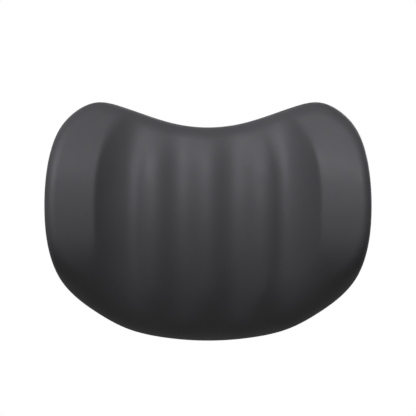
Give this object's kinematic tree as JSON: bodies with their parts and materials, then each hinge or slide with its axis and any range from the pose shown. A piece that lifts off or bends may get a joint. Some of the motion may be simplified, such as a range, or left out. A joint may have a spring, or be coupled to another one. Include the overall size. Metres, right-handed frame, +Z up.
{
  "type": "chair headrest attachment",
  "caption": "Contoured dark head pad with ribbed cradle and raised side wings, on a tilting friction hinge, height carriage and post, held by a screw clamp over a chair back",
  "frame": {"origin": "middle of the underside of the saddle pad that rests on the chair's top edge", "axes": "+X across the pad, to the right when facing its front; -Y the way the pad's front faces; +Z up"},
  "size_m": [0.2998, 0.2782, 0.2198],
  "materials": {
    "cover": "smooth satin charcoal synthetic leather",
    "foam": "moulded polyurethane foam",
    "board": "moulded board",
    "shell": "fine grained black plastic",
    "strip": "extruded strip",
    "cast_black": "black powder coat on die-cast aluminium",
    "post_metal": "satin anodised aluminium",
    "zinc_steel": "zinc-plated steel",
    "black_steel": "black painted steel",
    "spring_steel": "spring steel",
    "brass": "turned brass",
    "rubber": "matte grey rubber",
    "nylon": "glass-filled black nylon",
    "acetal": "natural acetal"
  },
  "bodies": {
    "clamp": {"clamp_frame": "cast_black", "threaded_bush": "brass", "front_jaw_pad": "rubber", "saddle_pad": "rubber", "post": "post_metal", "post_screws": "black_steel", "post_cap": "nylon"},
    "carriage": {"carriage_front": "nylon", "carriage_back": "nylon", "slide_liner_left": "acetal", "slide_liner_right": "acetal", "detent_spring": "spring_steel", "carriage_screws": "black_steel", "hinge_bushes": "brass"},
    "pad": {"pad_cover": "cover", "foam_core": "foam", "support_board": "board", "threaded_inserts": "brass", "cover_strip": "strip", "rear_shell": "shell", "shell_screws": "black_steel", "hinge_bracket": "black_steel", "bracket_screws": "zinc_steel", "hinge_pin": "zinc_steel", "friction_washers": "acetal", "disc_springs": "spring_steel", "hinge_nut": "zinc_steel", "hinge_cap_left": "nylon", "hinge_cap_right": "nylon"},
    "clamp_foot": {"pressure_plate": "cast_black", "pressure_pad": "rubber", "guide_pins": "zinc_steel"},
    "clamp_screw": {"clamp_screw": "zinc_steel", "retaining_clip": "spring_steel", "knob": "nylon", "knob_washer": "zinc_steel", "knob_screw": "zinc_steel", "knob_cap": "nylon"}
  },
  "joints": [
    {"name": "height_slide", "type": "slide", "parent": "clamp", "child": "carriage", "axis": [0, 0, 1], "range_m": [0, 0.06], "deforming": ["detent_spring"]},
    {"name": "pad_tilt", "type": "hinge", "parent": "carriage", "child": "pad", "pos_m": [0, -0.064, 0.038], "axis": [1, 0, 0], "range_deg": [-22, 30]},
    {"name": "clamp_advance", "type": "slide", "parent": "clamp", "child": "clamp_foot", "axis": [0, -1, 0], "range_m": [0, 0.024]},
    {"name": "knob_turn", "type": "hinge", "parent": "clamp_foot", "child": "clamp_screw", "pos_m": [0, 0.046, -0.022], "axis": [0, -1, 0], "range_deg": [0, 2880]}
  ],
  "couplings": [
    {"joint": "knob_turn", "follows": "clamp_advance", "rad_per_m": 2094.4}
  ]
}
